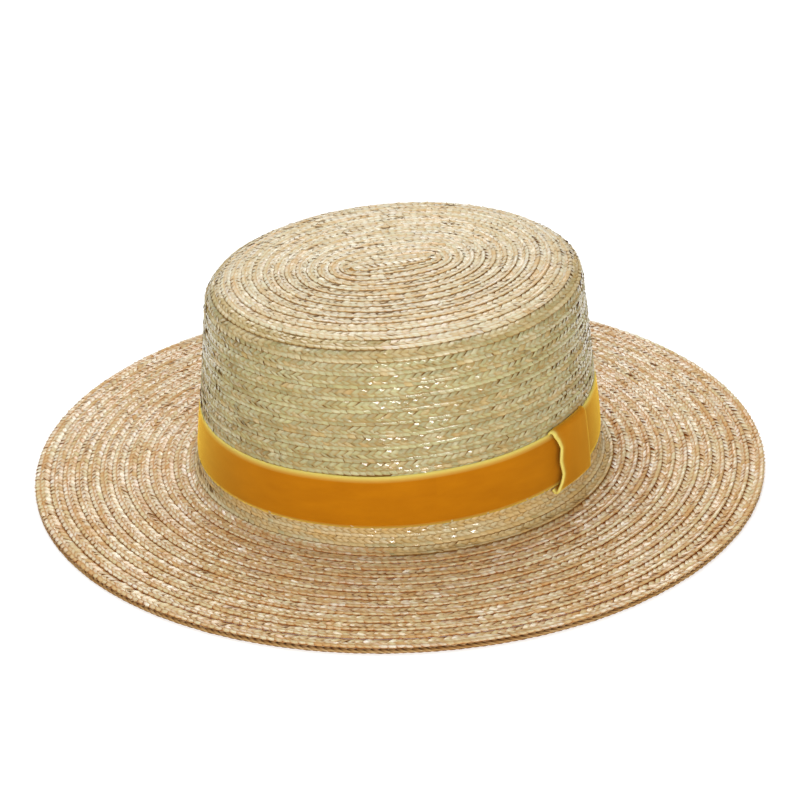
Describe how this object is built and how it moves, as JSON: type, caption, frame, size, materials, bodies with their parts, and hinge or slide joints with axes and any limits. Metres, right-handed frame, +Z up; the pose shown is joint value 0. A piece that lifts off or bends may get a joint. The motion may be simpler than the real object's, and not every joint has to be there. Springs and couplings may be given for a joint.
{
  "type": "wide brim straw hat",
  "caption": "Straw hat of sewn plait rows: flat-topped crown, wide flat brim with a doubled edge, and a velvet ribbon band held by a ribbon keeper.",
  "frame": {"origin": "under the middle of the brim's outline, on the plane that the brim's edge rests on", "axes": "+Z up through the crown, -Y the way the wearer faces, +X the wearer's left"},
  "size_m": [0.335, 0.347, 0.1041],
  "materials": {
    "plait_brim": "satin",
    "plait_side": "satin",
    "plait_tip": "satin",
    "velvet": "matte"
  },
  "bodies": {
    "root": {"brim_edge": "plait_brim", "brim": "plait_brim", "crown_side": "plait_side", "crown_tip": "plait_tip", "ribbon_band": "velvet", "ribbon_keeper": "velvet"}
  },
  "joints": []
}
